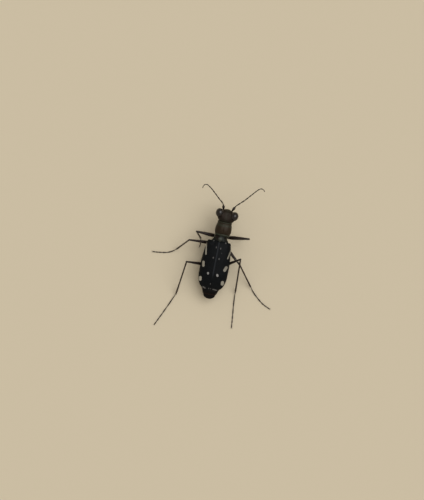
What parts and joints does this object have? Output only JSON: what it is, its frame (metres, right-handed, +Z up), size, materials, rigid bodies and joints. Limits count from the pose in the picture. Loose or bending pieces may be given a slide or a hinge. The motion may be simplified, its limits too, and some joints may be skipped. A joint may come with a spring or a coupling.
{
  "type": "tiger beetle",
  "caption": "Life-size still model of a small dark tiger beetle with cream spots, standing alert on long thin legs.",
  "frame": {"origin": "on the floor, below the middle of the whole model's box", "axes": "+Z up, the head looks along -Y, the beetle's left side is +X"},
  "size_m": [0.0166, 0.0198, 0.0055],
  "materials": {
    "wing_case": "matt black wing case, finely pitted, with cream spots",
    "bronze_shell": "satin dark bronze shell, finely wrinkled",
    "under_shell": "glossy black-bronze shell with white hairs at the sides",
    "abdomen_shell": "glossy black-brown plates with a reddish rim",
    "eye": "dark glossy compound eye",
    "lip": "satin ivory lip",
    "jaw": "glossy dark jaw, ivory at its base",
    "limb_shell": "satin brown-black limb with pale hairs"
  },
  "bodies": {
    "root": {"head": "bronze_shell", "eye_left": "eye", "eye_right": "eye", "labrum": "lip", "mandible_left": "jaw", "mandible_right": "jaw", "palp_left": "limb_shell", "palp_right": "limb_shell", "antenna_left_scape": "limb_shell", "antenna_left_inner": "limb_shell", "antenna_left_outer": "limb_shell", "antenna_right_scape": "limb_shell", "antenna_right_inner": "limb_shell", "antenna_right_outer": "limb_shell", "pronotum": "bronze_shell", "prosternum": "under_shell", "mesothorax": "bronze_shell", "scutellum": "bronze_shell", "elytron_left": "wing_case", "elytron_right": "wing_case", "metathorax": "under_shell", "abdomen": "abdomen_shell", "front_left_coxa": "limb_shell", "front_left_femur": "limb_shell", "front_left_tibia": "limb_shell", "front_left_tarsus": "limb_shell", "front_right_coxa": "limb_shell", "front_right_femur": "limb_shell", "front_right_tibia": "limb_shell", "front_right_tarsus": "limb_shell", "mid_left_coxa": "limb_shell", "mid_left_femur": "limb_shell", "mid_left_tibia": "limb_shell", "mid_left_tarsus": "limb_shell", "mid_right_coxa": "limb_shell", "mid_right_femur": "limb_shell", "mid_right_tibia": "limb_shell", "mid_right_tarsus": "limb_shell", "hind_left_coxa": "limb_shell", "hind_left_femur": "limb_shell", "hind_left_tibia": "limb_shell", "hind_left_tarsus": "limb_shell", "hind_right_coxa": "limb_shell", "hind_right_femur": "limb_shell", "hind_right_tibia": "limb_shell", "hind_right_tarsus": "limb_shell"}
  },
  "joints": []
}
